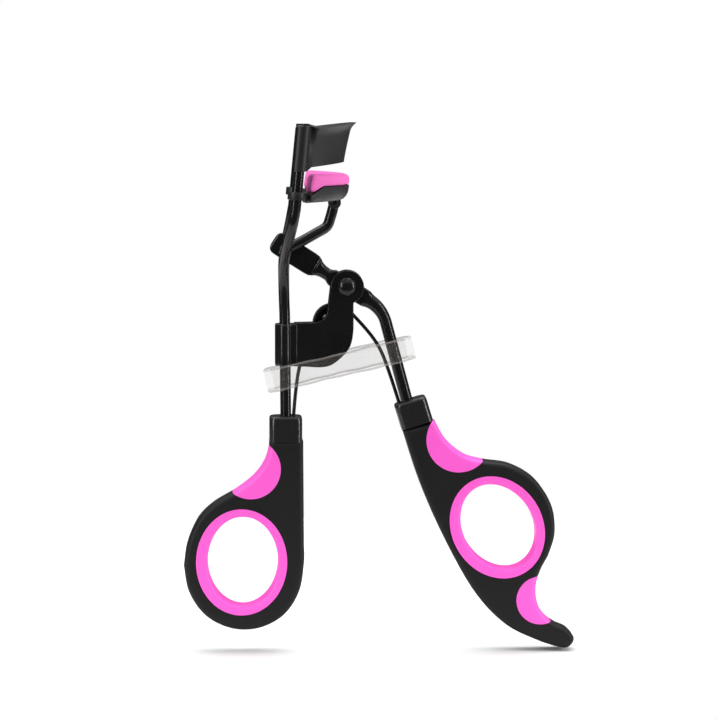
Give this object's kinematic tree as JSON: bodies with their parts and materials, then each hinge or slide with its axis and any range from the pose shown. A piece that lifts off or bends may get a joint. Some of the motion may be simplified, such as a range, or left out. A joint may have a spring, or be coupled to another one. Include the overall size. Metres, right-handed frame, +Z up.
{
  "type": "eyelash curler",
  "caption": "Ring-handled eyelash curler: a spring-loaded lever lifts a curved padded lower jaw along two frame wires to the fixed upper jaw.",
  "frame": {"origin": "middle of the bounding box at its lowest point, under the tail of the right handle", "axes": "+X across the handles towards the tailed handle and the jaws' outer curve, +Y along the jaw width and the pivot axis, +Z up from the handles to the jaws"},
  "size_m": [0.0886, 0.0348, 0.12],
  "materials": {
    "black_enamel": "glossy black enamel over steel wire",
    "jaw_enamel": "semi-gloss black enamel over pressed sheet",
    "spring_black": "blackened spring wire",
    "clear_band": "clear soft plastic",
    "socket_gloss": "glossy black hard plastic",
    "grip_matte": "fine-grained matte black plastic",
    "pink_soft": "satin pink soft plastic",
    "pad_silicone": "smooth pink silicone"
  },
  "bodies": {
    "frame": {"frame_wire_front": "black_enamel", "frame_wire_back": "black_enamel", "upper_jaw": "jaw_enamel", "hinge_bracket": "black_enamel", "pivot_rivet": "black_enamel", "torsion_spring": "spring_black", "elastic_band": "clear_band", "left_socket": "socket_gloss", "left_grip": "grip_matte", "left_thumb_inset": "pink_soft", "left_ring_liner": "pink_soft"},
    "lever": {"lever_rod": "black_enamel", "right_socket": "socket_gloss", "right_grip": "grip_matte", "right_finger_inset": "pink_soft", "right_tail_inset": "pink_soft", "right_ring_liner": "pink_soft"},
    "push_rod": {"push_rod": "black_enamel"},
    "lower_jaw": {"jaw_holder": "jaw_enamel", "jaw_pin": "black_enamel", "lash_pad": "pad_silicone"}
  },
  "joints": [
    {"name": "lever_pivot", "type": "hinge", "parent": "frame", "child": "lever", "pos_m": [-0.00736, 0, 0.0821], "axis": [0, 1, 0], "range_deg": [-4, 6], "stiffness_Nm_per_rad": 0.3, "deforming": ["torsion_spring"]},
    {"name": "link_pivot", "type": "hinge", "parent": "lever", "child": "push_rod", "pos_m": [-0.02136, 0, 0.0905], "axis": [0, 1, 0], "range_deg": [-9.17, 6.21]},
    {"name": "jaw_pivot", "type": "hinge", "parent": "push_rod", "child": "lower_jaw", "pos_m": [-0.01016, 0, 0.101], "axis": [0, 1, 0], "range_deg": [-4.43, 3.05]}
  ],
  "couplings": [
    {"joint": "link_pivot", "follows": "lever_pivot", "ratio": -1.478},
    {"joint": "jaw_pivot", "follows": "lever_pivot", "ratio": -0.6887}
  ]
}
